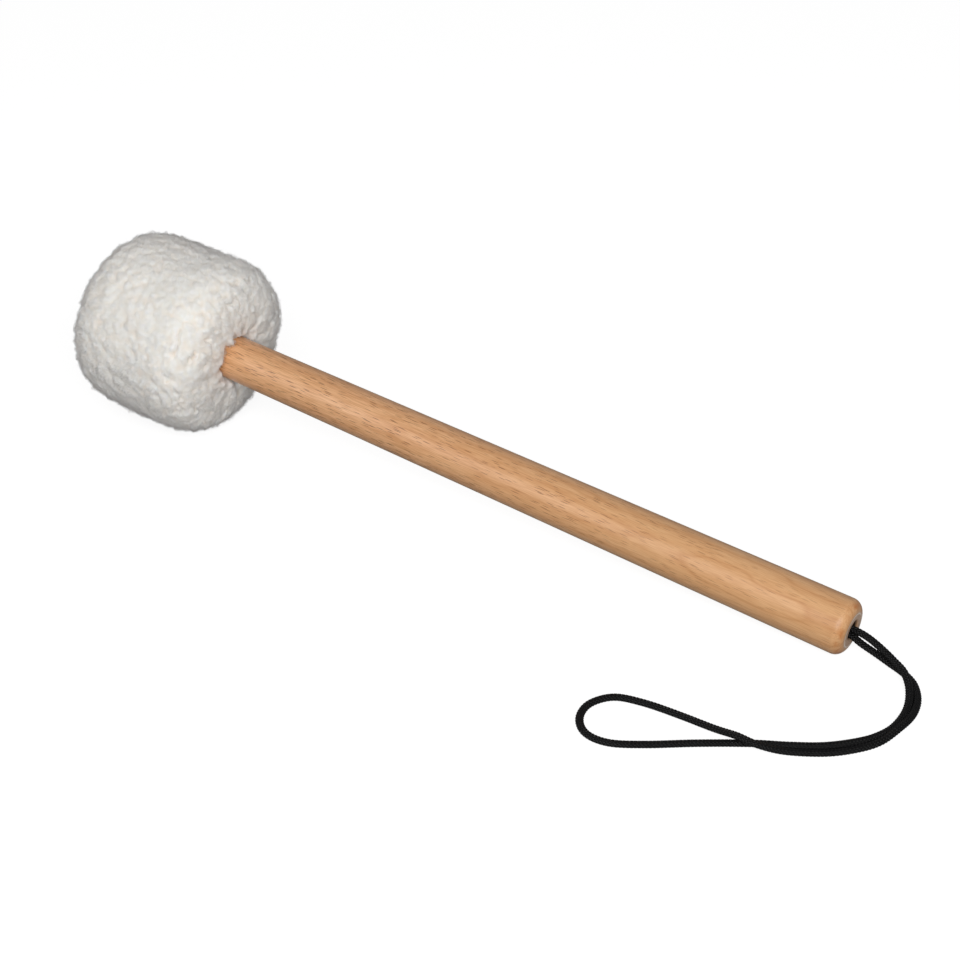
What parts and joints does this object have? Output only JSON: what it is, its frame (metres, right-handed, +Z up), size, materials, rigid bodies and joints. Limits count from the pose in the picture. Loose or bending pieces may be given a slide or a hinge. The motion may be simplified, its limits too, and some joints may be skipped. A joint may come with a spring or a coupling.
{
  "type": "drum beater",
  "caption": "Soft beater for a bass drum or gong: tapered turned beech handle, barrel head of felt and wadding under white fleece, black braided wrist cord from the butt.",
  "frame": {"origin": "on the table, under the middle of the beater's length and width without its cord", "axes": "+X along the handle towards the butt, seen from above; +Z up; +Y to the far side of the handle from the cord loop"},
  "size_m": [0.4305, 0.1502, 0.0869],
  "materials": {
    "lacquered_beech": "satin lacquer over turned beech, fine dark flecks along the grain",
    "raw_beech": "turned, unfinished",
    "zinc_plated_steel": "zinc plated",
    "wool_felt": "pressed wool felt, matt",
    "fibre_wadding": "loose white fibre",
    "wool_fleece": "short curly pile, off-white",
    "sewing_thread": "waxed twisted thread",
    "braided_cord": "soft black braid, slight sheen"
  },
  "bodies": {
    "root": {"handle": "lacquered_beech", "head_core": "raw_beech", "core_screw": "zinc_plated_steel", "core_washer": "zinc_plated_steel", "felt_wrap": "wool_felt", "felt_front_disc": "wool_felt", "felt_rear_ring": "wool_felt", "wadding": "fibre_wadding", "fleece_cover": "wool_fleece", "tip_thread": "sewing_thread", "neck_thread": "sewing_thread", "wrist_cord": "braided_cord", "cord_wedge": "raw_beech"}
  },
  "joints": []
}
